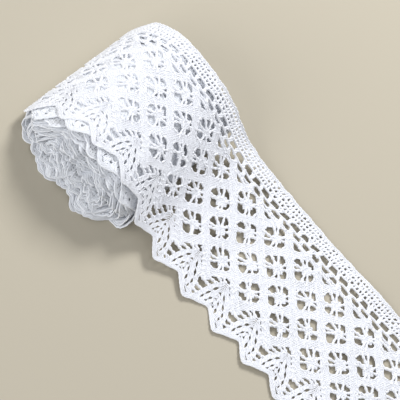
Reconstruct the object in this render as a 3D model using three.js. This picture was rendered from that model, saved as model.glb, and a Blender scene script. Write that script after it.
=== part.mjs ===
// A roll of cotton lace trim, 90 mm wide, with its loose end run out flat.
// Millimetres, +Z up. The strip runs along X, its scalloped edge towards -Y.
// Places on the strip are counted along in repeats (scallops) and across in levels (half diamonds).

import * as THREE from "three";

// Driving dimensions
const REPEAT = 24;
const LEVEL = 11.3;
const CLOTH = 1.2;
const SCALLOP_DEPTH = 0.6;
const TIP = -1.8;
const HEADING = 6.22;
const HEADING_FOOT = 5.5;
const STRIP_START = -5.12;
const STRIP_END = 6.45;
const FIRST_REPEAT = -5;
const LAST_REPEAT = 5;
const HOLE_MARGIN = 0.05;
const LARGEST_TURN = 0.2;
const EVENING_PASSES = 40;
const COTTON_WHITE = 0xf4f6fa;
const INNER_WHITE = 0xe6e9ee;

// The strip's slope in degrees where it lies flat, leaves the roll's top and turns down at the nose
const SLOPES = [
  { along: -5.2, slope: -84 },
  { along: -4.95, slope: -66 },
  { along: -4.6, slope: -49 },
  { along: -4.2, slope: -44 },
  { along: -3.75, slope: -33 },
  { along: -3.25, slope: -3 },
  { along: -2.75, slope: 7 },
  { along: -2.25, slope: 9 },
  { along: -1.75, slope: 31 },
  { along: -1.25, slope: 38 },
  { along: -0.75, slope: 40 },
  { along: -0.25, slope: 18 },
  { along: 0.25, slope: 9 },
  { along: 0.75, slope: 8 },
  { along: 1.25, slope: 3 },
  { along: 1.6, slope: 0 },
  { along: 7, slope: 0 },
];

// One scallop of the edge, from one rounded tip to the next
const SCALLOP = [
  { along: 0.1, depth: 0.97 },
  { along: 0.22, depth: 0.7 },
  { along: 0.4, depth: 0.28 },
  { along: 0.52, depth: 0.04 },
  { along: 0.62, depth: 0 },
  { along: 0.74, depth: 0.3 },
  { along: 0.86, depth: 0.68 },
  { along: 0.95, depth: 0.93 },
];

// The gaps round the spider in each diamond, in millimetres from its centre
const SPIDER_GAPS = [
  { name: "left", x: -6.4, y: 0.1, length: 4.7, width: 3.2, turn: -10, sides: 5 },
  { name: "upper left", x: -3.1, y: 3, length: 4.4, width: 2.1, turn: 150, sides: 4 },
  { name: "top", x: 0.8, y: 5, length: 5, width: 2.8, turn: -25, sides: 5 },
  { name: "bottom", x: -0.2, y: -4.9, length: 5.2, width: 3.4, turn: 15, sides: 5 },
];

// The gaps under the heading, in millimetres from the foot of the heading
const HEADING_GAPS = [
  { name: "wide", x: 3.6, y: -3, length: 5.6, width: 3, turn: 0, sides: 5 },
  { name: "round", x: 11, y: -3.1, length: 4.3, width: 3.2, turn: 0, sides: 5 },
  { name: "low", x: 19, y: -3.3, length: 4.6, width: 2.8, turn: 0, sides: 5 },
];

// The gaps over the fan of each scallop, in millimetres from the crossing above its tip
const FAN_GAPS = [
  { name: "first", x: 1.6, y: -8.4, length: 6.4, width: 2.8, turn: 5, sides: 5 },
  { name: "second", x: 6.2, y: -3.3, length: 4, width: 2.9, turn: 25, sides: 5 },
  { name: "third", x: 9, y: 0.5, length: 4.2, width: 2.2, turn: 25, sides: 4 },
  { name: "fourth", x: 12.8, y: 4.2, length: 4.6, width: 2.2, turn: 5, sides: 4 },
];

// How the lap has settled at each place along X: drawn in at its edges, and leaning at its heading
const SETTLING = [
  { x: -104, tips: 0, heading: -8, lean: 4 },
  { x: -89, tips: 3.6, heading: -1.5, lean: -1 },
  { x: -66, tips: 4, heading: -1.5, lean: -2 },
  { x: -43, tips: 4, heading: -2, lean: -2.5 },
  { x: -24, tips: 1, heading: -1, lean: -1.5 },
  { x: -5, tips: 0.5, heading: 0, lean: 0 },
  { x: 24, tips: 0, heading: 0, lean: 0 },
];

// The wound roll's outline from its end, from its left nose over the top and back along the flat
const OUTLINE = [
  { x: -100.2, z: 6.2 },
  { x: -97, z: 12.3 },
  { x: -91, z: 19.2 },
  { x: -84.5, z: 25.6 },
  { x: -77, z: 30.4 },
  { x: -68, z: 31.9 },
  { x: -57, z: 30.6 },
  { x: -46, z: 28.8 },
  { x: -37, z: 25.2 },
  { x: -28.5, z: 18.2 },
  { x: -22.4, z: 10.6 },
  { x: -22.6, z: 4 },
  { x: -27, z: 0 },
  { x: -40, z: 0 },
  { x: -57, z: 0 },
  { x: -74, z: 0 },
  { x: -90, z: 0 },
  { x: -97.4, z: 1.8 },
];

// The turns that show at the roll's end: how far in each lies, and how far it stands out
const TURNS = [
  { inward: 0, out: -7, phase: 0.1 },
  { inward: 0.06, out: 0, phase: 0.1 },
  { inward: 0.11, out: 1.2, phase: 0.1 },
  { inward: 0.14, out: -2.6, phase: 0.45 },
  { inward: 0.27, out: 2.2, phase: 0.45 },
  { inward: 0.31, out: -2, phase: 0.8 },
  { inward: 0.45, out: 1.4, phase: 0.8 },
  { inward: 0.5, out: -3, phase: 0.2 },
  { inward: 0.66, out: 1, phase: 0.2 },
  { inward: 0.72, out: -3.4, phase: 0.6 },
  { inward: 0.92, out: -1.2, phase: 0.6 },
];
const FAR_TURNS = [
  { inward: 0, out: 0, phase: 0 },
  { inward: 0.3, out: -1.5, phase: 0 },
  { inward: 0.6, out: 0.8, phase: 0 },
  { inward: 0.92, out: -1.5, phase: 0 },
];
const AROUND = 60;
const ROLL_HEIGHT = 32;
const CORE = { left: -78, right: -44, z: 14 };
const NEAR_TOP = -16;
const NEAR_LEAN = 14;
const FAR_TOP = 68;
const FAR_LEAN = 10;
const END_WAVE = 2.4;

const degrees = (value) => (value * Math.PI) / 180;
const smooth = (t) => t * t * (3 - 2 * t);
const mix = (a, b, t) => a + (b - a) * t;

function slopeAt(along) {
  const next = SLOPES.findIndex((row) => row.along >= along);
  if (next <= 0) return degrees(SLOPES[0].slope);
  const a = SLOPES[next - 1];
  const b = SLOPES[next];
  return degrees(mix(a.slope, b.slope, smooth((along - a.along) / (b.along - a.along))));
}

// The side view of the strip's middle layer, summed from its slopes back from the flat end
const SIDE_STEP = 0.01;
const sideView = [];
{
  let x = STRIP_END * REPEAT;
  let z = CLOTH / 2;
  for (let along = STRIP_END; along > STRIP_START - SIDE_STEP; along -= SIDE_STEP) {
    sideView.push({ x, z });
    const slope = slopeAt(along - SIDE_STEP / 2);
    x -= Math.cos(slope) * SIDE_STEP * REPEAT;
    z += Math.sin(slope) * SIDE_STEP * REPEAT;
  }
}

function settlingAt(x) {
  const next = SETTLING.findIndex((row) => row.x >= x);
  if (next === 0) return SETTLING[0];
  if (next < 0) return SETTLING[SETTLING.length - 1];
  const a = SETTLING[next - 1];
  const b = SETTLING[next];
  const t = smooth((x - a.x) / (b.x - a.x));
  const between = (name) => mix(a[name], b[name], t);
  return { tips: between("tips"), heading: between("heading"), lean: between("lean") };
}

// The lean moves whatever lies nearer the heading further along X, in the roll as in the lap over it
function leant(x, y) {
  const share = THREE.MathUtils.clamp((y / LEVEL - TIP) / (HEADING - TIP), 0, 1);
  return x + settlingAt(x).lean * share;
}

// A point of the strip: along and across it, and above (+) or below (-) its middle layer
function onStrip(along, across, above) {
  const place = (STRIP_END - along) / SIDE_STEP;
  const before = Math.min(Math.floor(place), sideView.length - 2);
  const slope = slopeAt(along);
  const x = mix(sideView[before].x, sideView[before + 1].x, place - before) + Math.sin(slope) * above;
  const z = mix(sideView[before].z, sideView[before + 1].z, place - before) + Math.cos(slope) * above;
  const settling = settlingAt(x);
  const share = (across - TIP) / (HEADING - TIP);
  const y = across * LEVEL + mix(settling.tips, settling.heading, share);
  return [leant(x, y), y, z];
}

const scallopAt = (row) => TIP + SCALLOP_DEPTH * (1 - row.depth);

// The line between two neighbouring repeats, up through the crossings of the bands
function seam(repeat) {
  const line = [[repeat, TIP], [repeat, -0.9]];
  for (let level = 0; level <= 5; level += 1) {
    line.push([repeat + (level % 2) / 2, level]);
  }
  line.push([repeat + 0.5, HEADING_FOOT], [repeat + 0.5, HEADING]);
  return line;
}

// A straight cut across the strip
function cut(along) {
  const line = [[along, TIP + SCALLOP_DEPTH * 0.5]];
  for (let level = -1; level <= 5; level += 2) {
    line.push([along, level]);
  }
  line.push([along, HEADING]);
  return line;
}

function gap(row, along, across) {
  const corners = [];
  for (let i = 0; i < row.sides; i += 1) {
    const angle = (i / row.sides) * 2 * Math.PI;
    const a = (Math.cos(angle) * row.length) / 2;
    const b = (Math.sin(angle) * row.width) / 2;
    const turn = degrees(row.turn);
    const x = row.x + a * Math.cos(turn) - b * Math.sin(turn);
    const y = row.y + a * Math.sin(turn) + b * Math.cos(turn);
    corners.push([along + x / REPEAT, across + y / LEVEL]);
  }
  return corners;
}

function gapsOf(repeat) {
  const gaps = [];
  for (let level = 1; level <= 4; level += 1) {
    const along = level % 2 ? repeat + 1 : repeat + 0.5;
    SPIDER_GAPS.forEach((row) => gaps.push(gap(row, along, level)));
  }
  HEADING_GAPS.forEach((row) => gaps.push(gap(row, repeat + 0.5, HEADING_FOOT)));
  FAN_GAPS.forEach((row) => gaps.push(gap(row, repeat, 0)));
  return gaps;
}

// One repeat of the strip as an outline with its gaps, split into triangles
function panel(repeat) {
  const first = repeat === FIRST_REPEAT;
  const last = repeat === LAST_REPEAT;
  const left = first ? cut(STRIP_START) : seam(repeat);
  const right = last ? cut(STRIP_END) : seam(repeat + 1);
  const tips = SCALLOP.map((row) => [repeat + row.along, scallopAt(row)]);
  if (first) {
    tips.unshift([repeat, TIP]);
  }
  if (last) {
    tips.push([repeat + 1, TIP]);
    SCALLOP.slice(0, 3).forEach((row) => tips.push([repeat + 1 + row.along, scallopAt(row)]));
  }
  const top = [];
  const topFrom = right[right.length - 1][0];
  const topTo = left[left.length - 1][0];
  for (let along = topFrom - 0.25; along > topTo + 0.1; along -= 0.25) {
    top.push([along, HEADING]);
  }
  const outline = [...tips, ...right, ...top, ...left.slice().reverse()];
  let gaps = gapsOf(repeat);
  if (first) {
    gaps = [...gapsOf(repeat - 1), ...gaps];
  }
  if (last) {
    gaps = [...gaps, ...gapsOf(repeat + 1)];
  }
  const inside = ([along]) => along > STRIP_START + HOLE_MARGIN && along < STRIP_END - HOLE_MARGIN;
  gaps = gaps.filter((corners) => corners.every(inside));
  const vectors = (line) => line.map(([along, across]) => new THREE.Vector2(along, across));
  const faces = THREE.ShapeUtils.triangulateShape(vectors(outline), gaps.map(vectors));
  return { points: [...outline, ...gaps.flat()], faces };
}

// All repeats joined at their shared points
function flatStrip() {
  const points = [];
  const faces = [];
  const found = new Map();
  const shared = ([along, across]) => {
    const key = `${along.toFixed(5)} ${across.toFixed(5)}`;
    if (!found.has(key)) {
      found.set(key, points.length);
      points.push([along, across]);
    }
    return found.get(key);
  };
  for (let repeat = FIRST_REPEAT; repeat <= LAST_REPEAT; repeat += 1) {
    const piece = panel(repeat);
    piece.faces.forEach((face) => faces.push(face.map((corner) => shared(piece.points[corner]))));
  }
  return { points, faces: faces.map((face) => leftTurned(points, face)) };
}

function leftTurned(points, [a, b, c]) {
  const [ax, ay] = points[a];
  const [bx, by] = points[b];
  const [cx, cy] = points[c];
  const area = (bx - ax) * (cy - ay) - (cx - ax) * (by - ay);
  return area > 0 ? [a, b, c] : [a, c, b];
}

// Two triangles across an inner edge are turned wherever that makes them less narrow
function evened(strip) {
  const { points, faces } = strip;
  const flat = points.map(([along, across]) => [along * REPEAT, across * LEVEL]);
  const angleAt = (corner, a, b) => {
    const [ax, ay] = [flat[a][0] - flat[corner][0], flat[a][1] - flat[corner][1]];
    const [bx, by] = [flat[b][0] - flat[corner][0], flat[b][1] - flat[corner][1]];
    return Math.atan2(Math.abs(ax * by - ay * bx), ax * bx + ay * by);
  };
  for (let pass = 0; pass < EVENING_PASSES; pass += 1) {
    const sides = new Map();
    faces.forEach(([a, b, c], index) => {
      [[a, b, c], [b, c, a], [c, a, b]].forEach(([p, q, apex]) => sides.set(`${p} ${q}`, { index, apex }));
    });
    const turned = new Set();
    sides.forEach((one, key) => {
      const [p, q] = key.split(" ").map(Number);
      const other = sides.get(`${q} ${p}`);
      if (!other || p > q || turned.has(one.index) || turned.has(other.index)) return;
      if (angleAt(one.apex, p, q) + angleAt(other.apex, p, q) <= Math.PI + 1e-6) return;
      faces[one.index] = [one.apex, p, other.apex];
      faces[other.index] = [other.apex, q, one.apex];
      turned.add(one.index).add(other.index);
    });
    if (turned.size === 0) break;
  }
  return { points, faces };
}

// Edges that bend too far are halved, in every triangle that shares them, until none is left
function bendFinely(strip) {
  const { points } = strip;
  let faces = strip.faces;
  let halved = true;
  while (halved) {
    halved = false;
    const middles = new Map();
    const middle = (a, b) => {
      const key = a < b ? `${a} ${b}` : `${b} ${a}`;
      if (!middles.has(key)) {
        const turn = Math.abs(slopeAt(points[a][0]) - slopeAt(points[b][0]));
        let index = -1;
        if (turn > LARGEST_TURN) {
          index = points.length;
          points.push([(points[a][0] + points[b][0]) / 2, (points[a][1] + points[b][1]) / 2]);
          halved = true;
        }
        middles.set(key, index);
      }
      return middles.get(key);
    };
    faces = faces.flatMap((face) => splitFace(face, middle));
  }
  return { points, faces };
}

function splitFace([a, b, c], middle) {
  const ab = middle(a, b);
  const bc = middle(b, c);
  const ca = middle(c, a);
  const count = (ab >= 0) + (bc >= 0) + (ca >= 0);
  if (count === 0) return [[a, b, c]];
  if (count === 3) return [[a, ab, ca], [ab, b, bc], [ca, bc, c], [ab, bc, ca]];
  if (count === 1) {
    if (ab >= 0) return [[a, ab, c], [ab, b, c]];
    if (bc >= 0) return [[a, b, bc], [a, bc, c]];
    return [[a, b, ca], [ca, b, c]];
  }
  if (ab < 0) return [[c, ca, bc], [ca, a, b], [ca, b, bc]];
  if (bc < 0) return [[a, ab, ca], [ab, b, c], [ab, c, ca]];
  return [[b, bc, ab], [bc, c, a], [bc, a, ab]];
}

function solid(positions, faces) {
  const geometry = new THREE.BufferGeometry();
  geometry.setAttribute("position", new THREE.Float32BufferAttribute(positions.flat(), 3));
  geometry.setIndex(faces.flat());
  return geometry;
}

// The flat net of triangles given its thickness and laid on its slopes
function looseEnd() {
  const { points, faces } = evened(bendFinely(evened(flatStrip())));
  const count = points.length;
  const upper = points.map(([along, across]) => onStrip(along, across, CLOTH / 2));
  const lower = points.map(([along, across]) => onStrip(along, across, -CLOTH / 2));
  const edges = new Set();
  faces.forEach(([a, b, c]) => [[a, b], [b, c], [c, a]].forEach(([p, q]) => edges.add(`${p} ${q}`)));
  const all = [];
  faces.forEach(([a, b, c]) => all.push([a, b, c], [c + count, b + count, a + count]));
  edges.forEach((edge) => {
    const [p, q] = edge.split(" ").map(Number);
    if (!edges.has(`${q} ${p}`)) {
      all.push([p, p + count, q], [q, p + count, q + count]);
    }
  });
  return solid([...upper, ...lower], all);
}

// The roll's outline as evenly spaced points, flat where it rests
function rollOutline() {
  const corners = OUTLINE.map((row) => new THREE.Vector3(row.x, 0, row.z));
  const curve = new THREE.CatmullRomCurve3(corners, true, "centripetal");
  const points = curve.getSpacedPoints(AROUND).slice(0, AROUND);
  return points.map((point) => ({ x: point.x, z: Math.max(point.z, 0) }));
}

// How much the lower turns have slipped out: most under the middle, none at the noses
function slipped(x, z) {
  const low = 1 - z / ROLL_HEIGHT;
  const fromLeft = smooth(THREE.MathUtils.clamp((x + 108) / 40, 0, 1));
  const fromRight = smooth(THREE.MathUtils.clamp((-16 - x) / 28, 0, 1));
  return low * mix(0.35, 1, fromLeft) * fromRight;
}

function ringOf(outline, turn, near) {
  return outline.map((point, index) => {
    const coreX = THREE.MathUtils.clamp(point.x, CORE.left, CORE.right);
    const x = mix(point.x, coreX, turn.inward);
    const z = mix(point.z, CORE.z, turn.inward);
    const wave = Math.cos((index / AROUND) * 9 * 2 * Math.PI + turn.phase * 2 * Math.PI);
    const out = turn.out + END_WAVE * wave * (near ? 1 : 0);
    const y = near ? NEAR_TOP - NEAR_LEAN * slipped(x, z) - out : FAR_TOP - FAR_LEAN * slipped(x, z) + out;
    return [leant(x, y), y, z];
  });
}

// The wound turns as one body: rings from the near end's middle, along the outside, to the far end's
function woundRoll() {
  const outline = rollOutline();
  const near = TURNS.slice().reverse().map((turn) => ringOf(outline, turn, true));
  const far = FAR_TURNS.map((turn) => ringOf(outline, turn, false));
  const rings = [...near, ...far];
  const positions = rings.flat();
  const faces = [];
  for (let ring = 0; ring + 1 < rings.length; ring += 1) {
    for (let i = 0; i < AROUND; i += 1) {
      const a = ring * AROUND + i;
      const b = ring * AROUND + ((i + 1) % AROUND);
      faces.push([a, b, a + AROUND], [b, b + AROUND, a + AROUND]);
    }
  }
  const middleOf = (ring) => {
    const sum = ring.reduce((total, point) => total.map((value, axis) => value + point[axis]), [0, 0, 0]);
    return sum.map((value) => value / AROUND);
  };
  const nearMiddle = positions.length;
  positions.push(middleOf(rings[0]));
  const farMiddle = positions.length;
  positions.push(middleOf(rings[rings.length - 1]));
  const lastRing = (rings.length - 1) * AROUND;
  for (let i = 0; i < AROUND; i += 1) {
    const next = (i + 1) % AROUND;
    faces.push([nearMiddle, next, i], [farMiddle, lastRing + i, lastRing + next]);
  }
  return solid(positions, faces);
}

function cotton(color) {
  return new THREE.MeshStandardMaterial({ color, roughness: 0.95, metalness: 0, side: THREE.DoubleSide });
}

function piece(name, geometry, color) {
  const mesh = new THREE.Mesh(geometry, cotton(color));
  mesh.name = name;
  return mesh;
}

const lace = new THREE.Group();
lace.add(piece("wound_roll", woundRoll(), INNER_WHITE));
lace.add(piece("loose_end", looseEnd(), COTTON_WHITE));

// The origin is under the middle of the whole, on the surface it rests on
const bounds = new THREE.Box3().setFromObject(lace);
const centre = bounds.getCenter(new THREE.Vector3());
lace.position.set(-centre.x, -centre.y, -bounds.min.z);

export default lace;
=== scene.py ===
"""A roll of cotton lace trim with its loose end run out flat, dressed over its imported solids.

The lace is drawn as its threads lie on the lace pillow, flat and in millimetres, and is then laid along the
strip's side view. Places on the strip are counted along in repeats (scallops) and across in levels (half
diamonds), as in the solids. The roll's own turns follow its outline.
"""

import math

import bpy
import numpy as np
from bpy.props import FloatProperty, FloatVectorProperty, IntProperty, PointerProperty
from mathutils import Matrix, Vector


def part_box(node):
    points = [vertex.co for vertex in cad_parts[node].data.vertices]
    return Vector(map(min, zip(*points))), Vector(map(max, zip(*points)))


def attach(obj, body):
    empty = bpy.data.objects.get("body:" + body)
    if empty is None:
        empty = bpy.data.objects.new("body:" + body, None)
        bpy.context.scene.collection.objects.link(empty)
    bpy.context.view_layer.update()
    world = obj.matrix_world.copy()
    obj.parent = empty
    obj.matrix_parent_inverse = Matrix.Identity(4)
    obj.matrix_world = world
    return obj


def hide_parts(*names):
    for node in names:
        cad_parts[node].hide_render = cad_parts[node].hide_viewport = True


bl_info = {
    "name": "Roll of lace trim",
    "version": (1, 0, 0),
    "blender": (4, 5, 0),
    "location": "3D View > Sidebar > Lace",
    "description": "Dresses a roll of cotton lace trim and its loose end with real threads",
    "category": "Object",
}

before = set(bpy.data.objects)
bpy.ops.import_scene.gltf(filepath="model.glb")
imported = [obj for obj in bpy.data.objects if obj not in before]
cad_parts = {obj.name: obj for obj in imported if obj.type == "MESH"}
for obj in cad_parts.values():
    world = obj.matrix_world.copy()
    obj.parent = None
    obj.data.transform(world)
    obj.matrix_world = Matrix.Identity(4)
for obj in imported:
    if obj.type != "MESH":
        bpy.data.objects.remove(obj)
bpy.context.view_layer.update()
STRIP_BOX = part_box("loose_end")

# The strip in millimetres, its edges and scallops in levels, and its two ends and its side's step in repeats
MM = 0.001
REPEAT = 24.0
LEVEL = 11.3
CLOTH = 1.2
TIP = -1.8
HEADING = 6.22
SCALLOP_DEPTH = 0.6
STRIP_START = -5.12
STRIP_END = 6.45
SIDE_STEP = 0.01

# The strip's slope in degrees, by repeats: down at the nose, level over the roll's top, and flat on the floor
SLOPES = [
    (-5.2, -84), (-4.95, -66), (-4.6, -49), (-4.2, -44), (-3.75, -33), (-3.25, -3),
    (-2.75, 7), (-2.25, 9), (-1.75, 31), (-1.25, 38), (-0.75, 40), (-0.25, 18),
    (0.25, 9), (0.75, 8), (1.25, 3), (1.6, 0), (7.0, 0),
]

# How the lap has settled at each place along X, in millimetres: drawn in at its two edges, and leaning
SETTLING = {
    "x": (-104, -89, -66, -43, -24, -5, 24),
    "tips": (0, 3.6, 4, 4, 1, 0.5, 0),
    "heading": (-8, -1.5, -1.5, -2, -1, 0, 0),
    "lean": (4, -1, -2, -2.5, -1.5, 0, 0),
}

# Where the flat lace lifts a little: how fast it waves along and across, where it starts, and how high
LIFTS = [(2.6, 0.5, 0.4, 0.6), (-1.1, 1.7, 2.0, 0.5), (5.2, -1.3, 1.0, 0.3)]
LIFT_START = -0.6
LIFT_FULL = 1.0

# The wound roll's outline from its end, as X and Z: from its left nose over the top and back along the flat
OUTLINE = [
    (-100.2, 6.2), (-97, 12.3), (-91, 19.2), (-84.5, 25.6), (-77, 30.4), (-68, 31.9),
    (-57, 30.6), (-46, 28.8), (-37, 25.2), (-28.5, 18.2), (-22.4, 10.6), (-22.6, 4),
    (-27, 0), (-40, 0), (-57, 0), (-74, 0), (-90, 0), (-97.4, 1.8),
]
OUTLINE_STEPS = 24
ROLL_HEIGHT = 32.0

# Where the roll's two ends lie in Y at its top, how far they shift to the near side at the floor, and where
NEAR_TOP = -16.0
NEAR_LEAN = 14.0
FAR_TOP = 68.0
FAR_LEAN = 10.0
SLIP = {"left": -108, "left_run": 40, "right": -16, "right_run": 28, "least": 0.35}

# The outermost turn: its repeats, how far it stands out at the scalloped end, its stitch and its thread
TURN_REPEATS = 8
TURN_SHIFT = 0.45
TURN_OUT = 3.4
TURN_SUNK = -0.3
TURN_STITCH = 1.35
TURN_YARN = 1.3
TURN_SEED = 5
TURN_STEP = 1.5

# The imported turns: their middle, the rings that close their two ends, and how far inside those ends are
CORE = {"left": -78.0, "right": -44.0, "z": 14.0}
CORE_SUNK = -0.3
CORE_RINGS = (0.97, 0.7, 0.4, 0.1, 0.0)
CORE_STEPS = 120
CORE_INSIDE = {"near": 5.5, "far": 4.0}

# How far off the floor the lowest threads and cloths stay
FLOOR_GAP = 0.015
LOWEST_CLOTH = {"upper": 0.3, "lower": 0.05}

# One scallop of the firm edge, from one rounded tip to the next: place in repeats, share of the depth
SCALLOP = [
    (0.05, 1.0), (0.12, 0.92), (0.22, 0.66), (0.4, 0.28), (0.52, 0.05),
    (0.62, 0.0), (0.74, 0.28), (0.86, 0.66), (0.97, 0.94), (1.05, 1.0),
]
BORDER_WIDTH = 2.9

# How the threads lie: how close side by side, how far a twisted one swings, the step and smoothness of lines
CLOSENESS = 0.8
PLY = 0.36
PAIR_STEP = 0.8
LINE_STEPS = 8

# The bands between the diamonds, and how near to a crossing the lower band's threads are hidden
BAND_LEVELS = (-0.3, 1, 2, 3, 4, 4.8)
CROSSING = 0.27

# The spider in each diamond: its body, and where its legs meet the bands, in millimetres from the middle
SPIDER_LEVELS = (1, 2, 3, 4)
SPIDER = {"middle": (1.3, 0.3), "size": 5.4, "vary": (0.84, 1.16), "facing": (0.73, 0.69), "stray": 0.55}
SPIDER_LEGS = [
    (-6.2, 3.2), (-3.1, 6.1), (4.0, 4.9), (6.3, 2.6),
    (5.5, -3.7), (3.2, -5.7), (-4.5, -4.6), (-6.3, -2.7),
]

# A leg: how its threads part at foot and body, how far it reaches into band and body, its bow and tightness
LEG = {"foot": 0.7, "vary": (0.3, 1.3), "body": 0.4, "past": 0.9, "into": 0.5, "bow": 0.3}
LEG_TIGHT = (0.7, 1.25)

# The threads that round off the corners of a diamond: from and to, in millimetres from its middle
CORNERS = [
    ((-7.6, 1.3), (-7.6, -1.3)),
    ((7.6, -1.3), (7.6, 1.3)),
    ((1.4, 7.3), (-1.4, 7.3)),
    ((-1.4, -7.3), (1.4, -7.3)),
]
CORNER = {"stray": 0.35, "bow": (-0.6, 0.2), "tight": 0.9}

# The nested chevrons that fan out over each scallop, from its outermost thread to its innermost
FAN_OUTER = [
    (0.16, -1.5), (0.21, -1.22), (0.245, -0.9), (0.275, -0.6), (0.325, -0.3), (0.39, -0.04),
    (0.46, 0.22), (0.56, 0.41), (0.67, 0.26), (0.79, -0.01), (0.9, -0.26), (0.99, -0.5),
    (1.04, -0.74), (1.08, -0.98), (1.11, -1.25), (1.11, -1.55),
]
FAN_INNER = [(0.56, -1.12), (0.58, -0.85), (0.62, -0.7), (0.66, -0.85), (0.68, -1.12)]
FAN = {"threads": 14, "points": 120, "outer_pitch": 0.5, "inner_pitch": 0.1, "closer": 1.3, "stray": 0.2}

# The slits between the chevrons: place in repeats and levels, length and width in millimetres, and lean
FAN_SLITS = [
    (0.47, -0.2, 3.2, 1.0, 58),
    (0.4, -0.62, 3.2, 0.9, 68),
    (0.355, -0.97, 2.4, 1.1, 80),
    (0.51, -0.68, 2.6, 0.9, 70),
    (0.475, -1.0, 2.4, 1.1, 84),
    (0.6, -0.2, 1.6, 0.9, 0),
    (0.61, -0.52, 1.4, 0.7, 0),
    (0.62, -1.0, 2.2, 1.3, 90),
    (0.74, -0.2, 3.2, 1.0, -50),
    (0.87, -0.53, 3.2, 1.0, -54),
    (0.955, -0.88, 2.4, 1.1, -72),
    (0.96, -1.2, 1.5, 1.0, -80),
    (0.72, -0.62, 2.8, 0.9, -62),
    (0.785, -0.97, 2.6, 1.1, -74),
]
SLIT = {"half": 0.55, "reach": 2.5}

# The twisted pairs that cross from a band to the chevrons, and over the tips: from and to
BRIDGES = [
    ((0.02, -0.3), (0.32, -0.36)),
    ((0.12, -0.02), (0.4, -0.04)),
    ((0.28, 0.3), (0.47, 0.2)),
    ((0.36, 0.5), (0.52, 0.34)),
    ((0.6, 0.38), (0.72, 0.6)),
    ((0.7, 0.2), (0.82, 0.4)),
    ((0.79, -0.02), (0.92, 0.18)),
    ((0.88, -0.22), (1.01, -0.04)),
    ((0.97, -0.46), (1.06, -0.24)),
    ((0.5, 0.68), (0.64, 0.66)),
    ((0.04, -0.76), (0.28, -0.78)),
    ((0.07, -1.1), (0.25, -1.1)),
    ((0.1, -1.34), (0.22, -1.34)),
]
BRIDGE = {"stray": 0.2, "tight": 1.1, "spread": (0.6, 0.6)}

# The twisted pairs of the open triangle under the heading: from and to, from its lowest crossing, and bow
TOP_CELL = [
    ((-0.3, 0.56), (0.32, 0.55), 0.9),
    ((0.06, 0.58), (0.03, 0.76), 0.0),
    ((-0.27, 0.56), (-0.3, 0.76), 0.0),
    ((0.28, 0.56), (0.33, 0.76), 0.0),
    ((-0.08, 0.34), (0.08, 0.34), -0.3),
]
CELL = {"stray": 0.25, "tight": 1.0, "spread": (0.4, 0.4)}

# The heading: its two woven bands, the rows of pairs between them, and the ties and posts that join these
BAND_TIE = {"across": 4.74, "width": 1.3}
HEADING_EDGE = {"across": 6.12, "width": 2.3}
BAND_STEPS = {"step": 0.25, "past": 0.1, "stray": 0.12}
HEADING_ROWS = [5.4, 5.63, 5.85]
HEADING_TIGHT = 0.6
TIE = {"across": 5.04, "step": 0.33, "length": 0.34, "bow": (0.1, 0.4)}
LOW_POSTS = [-0.03, 0.29, 0.62]
POSTS = [0.13, 0.47, 0.81]
POST = {"lean": 0.8, "vary": (0.3, 1.2), "foot": 0.5, "stray": 0.4, "tight": 0.9, "spread": (0.6, 0.8)}
NET = {"pitch": 2.1, "slant": 0.7, "foot": 0.3, "top": 0.35, "under_edge": 0.07, "spread": (0.35, 0.35)}

# Slow bends of the whole cloth, in millimetres: how long each is, and how far it moves the threads
UNEVENNESS = [(34, 0.5), (17, 0.3), (11, 0.16), (8, 0.12), (5.5, 0.05)]

# The turns seen at the roll's two ends: how many, how bundled and astray, from how far in to how far in
END_COUNT = 20
END_SEED = 20
BUNDLE = 3
BUNDLE_SQUEEZE = 0.8
TURN_STRAY = 0.6
END_INWARD = (0.06, 0.94)
END_SLIP = (-1.8, 1.4)

# Each of them in millimetres: the rows of its cloth from the edge inward, its half thickness and threads
END_STEPS = 190
END_DEPTHS = (1.0, 3.0, 6.0, 11.0)
END_HALF = 0.26
END_FLARE = 1.5
EDGE_THREADS = [0.0, 0.75, 1.5, 2.4]
EDGE_WEAVE = 0.06
NEAR_NOTCH = 4.8

# How the ends ruffle: waves to a turn, their heights outward and along the roll, their shift by turns
RUFFLES = [(37, 0.14, 0.3, 1.1), (23, 0.25, 0.42, 0.45), (14, 0.34, 0.7, 0.28), (5, 0.5, 1.0, 0.2)]

# How far apart those waves start, how far the ones along the roll lag, and how calm the far end is
RUFFLE_START = 2.0
RUFFLE_LAG = 1.0
FAR_CALM = {"slip": 0.6, "ruffle": 0.5}

# What the cotton's finish follows, in millimetres: the twist, the fuzz, the threads and the dents
COTTON_IOR = 1.53
PLY_TWIST = 1.4
PLY_HEIGHT = 0.35
FUZZ = 0.35
THREAD_SPACING = 0.9
WEAVE_HEIGHT = 0.5
# Painted shade in the gaps between pairs: how grey they are painted, how far apart, and where the grey fades
OPENING_PAINTED_SHADE = 0.55
OPENING_SPACING = 1.5
OPENING_RIM = (0.16, 0.34)
# The dents: how far apart in millimetres, where their painted shade fades, and how grey it paints their
# hollows
DENT = 4.0
DENT_RIM = (0.36, 0.6)
DENT_SHADE = 0.92

# The camera: its turn in degrees, and in millimetres its distance and what it looks at on the strip
VIEW = {"elevation": 60.4, "roll": 48.1, "target": (-5.9, 27.35, 0.0), "distance": 1282.0}
CAMERA = {"lens": 216.0, "sensor_width": 36.0, "clip_start": 0.01, "clip_end": 20.0}

# The floor's half width in metres, and the soft light on it: place and size in metres, power in watts
FLOOR_HALF = 3.0
ROOM = {"colour": 0xFCFDFF, "strength": 0.39}
LIGHTS = [
    ("window", (-0.25, 0.92, 0.8), 0.38, 14.4),
    ("ceiling", (0.25, -0.1, 1.3), 1.0, 1.6),
    ("reflector", (-0.55, -1.1, 0.4), 1.2, 13.0),
]


def linear(hex_value):
    """An sRGB hex colour as linear light."""
    channels = [((hex_value >> shift) & 255) / 255 for shift in (16, 8, 0)]
    return tuple(c / 12.92 if c <= 0.04045 else ((c + 0.055) / 1.055) ** 2.4 for c in channels)


def size_in_mm(name, default, description):
    """A size that is given here in millimetres."""
    return FloatProperty(name=name, description=description, default=default * MM, unit="LENGTH")


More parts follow.
